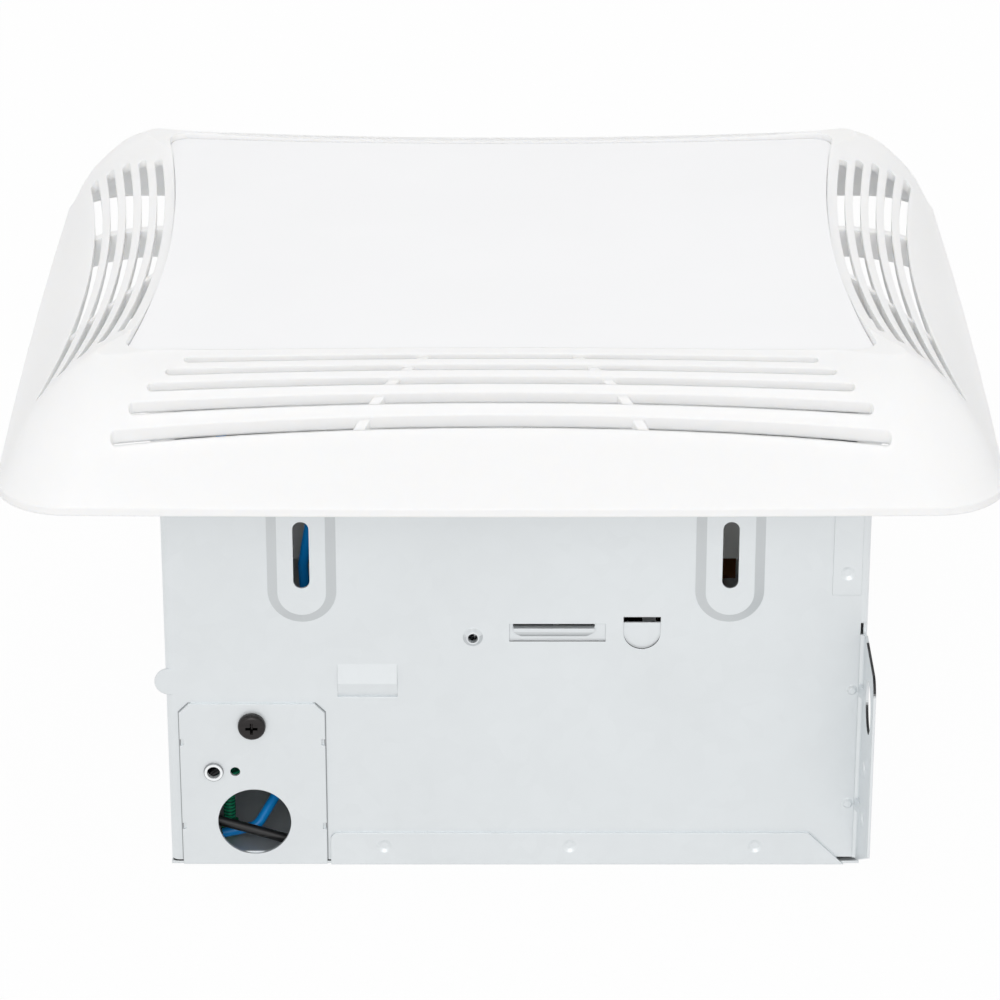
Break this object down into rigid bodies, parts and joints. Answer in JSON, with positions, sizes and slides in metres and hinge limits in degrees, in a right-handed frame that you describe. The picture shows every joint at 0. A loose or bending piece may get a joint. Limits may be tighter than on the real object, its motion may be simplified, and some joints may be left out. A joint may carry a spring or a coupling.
{
  "type": "ventilation fan with light",
  "caption": "Ceiling exhaust fan with a light: folded steel housing with blower, motor and duct collar, under a slotted white cover with a flat lens.",
  "frame": {"origin": "centre of the outer face of the housing's back panel", "axes": "+Z out of the room side through the lens, -Y out of the wall with the wiring plate, +Y along the duct collar; in use the fan hangs with +Z down"},
  "size_m": [0.295, 0.275, 0.167],
  "materials": {
    "galvanised_steel": "satin",
    "cover_plastic": "satin",
    "lens_plastic": "diffusing",
    "dark_screw": "phosphated",
    "zinc_screw": "zinc plated",
    "ground_green": "green plated",
    "lead_blue": "smooth",
    "lead_black": "smooth",
    "lead_white": "smooth",
    "connector_nylon": "moulded",
    "duct_plastic": "moulded",
    "wheel_plastic": "moulded",
    "cast_bracket": "die cast",
    "core_steel": "stamped stack",
    "coil_tape": "wound copper",
    "bright_steel": "ground",
    "white_enamel": "enamel",
    "holder_plastic": "moulded",
    "lamp_glass": "frosted",
    "lamp_cap": "pressed",
    "spring_wire": "drawn"
  },
  "bodies": {
    "housing": {"housing_wrap": "galvanised_steel", "back_panel": "galvanised_steel", "joist_tab": "galvanised_steel", "wiring_cover": "galvanised_steel", "wiring_cover_screw": "dark_screw", "wiring_box": "galvanised_steel", "ground_screw": "ground_green", "motor_receptacle": "connector_nylon", "lamp_receptacle": "connector_nylon", "motor_plug": "connector_nylon", "lamp_plug": "connector_nylon", "supply_lead_blue": "lead_blue", "supply_lead_black": "lead_black", "motor_lead": "lead_black", "lamp_lead": "lead_blue", "lamp_jumper": "lead_white", "duct_connector": "duct_plastic", "duct_screws": "zinc_screw", "blower_plate": "galvanised_steel", "scroll": "galvanised_steel", "motor_strap": "galvanised_steel", "lower_bearing_bracket": "cast_bracket", "upper_bearing_bracket": "cast_bracket", "motor_stack": "core_steel", "motor_coil": "coil_tape", "motor_bolts": "zinc_screw", "lamp_pan": "white_enamel", "pan_bracket_front": "galvanised_steel", "pan_bracket_rear": "galvanised_steel", "pan_screws": "zinc_screw", "lamp_board": "white_enamel", "lamp_socket_front": "holder_plastic", "lamp_socket_rear": "holder_plastic", "lamp_cap_front": "lamp_cap", "lamp_cap_rear": "lamp_cap", "lamp_globe_front": "lamp_glass", "lamp_globe_rear": "lamp_glass"},
    "blower_rotor": {"blower_wheel": "wheel_plastic", "motor_shaft": "bright_steel", "motor_rotor": "core_steel"},
    "damper": {"damper_flap": "duct_plastic"},
    "cover": {"cover_frame": "cover_plastic", "lens": "lens_plastic", "cover_spring_front": "spring_wire", "cover_spring_rear": "spring_wire"}
  },
  "joints": [
    {"name": "wheel_spin", "type": "hinge", "parent": "housing", "child": "blower_rotor", "pos_m": [0.018, -0.01, 0.026], "axis": [0, 0, 1], "continuous": true},
    {"name": "damper_swing", "type": "hinge", "parent": "housing", "child": "damper", "pos_m": [0.05, 0.11, 0.0235], "axis": [-1, 0, 0], "range_deg": [0, 65]},
    {"name": "cover_pull", "type": "slide", "parent": "housing", "child": "cover", "axis": [0, 0, 1], "range_m": [0, 0.06], "stiffness_N_per_m": 40, "springref_m": -0.08}
  ]
}
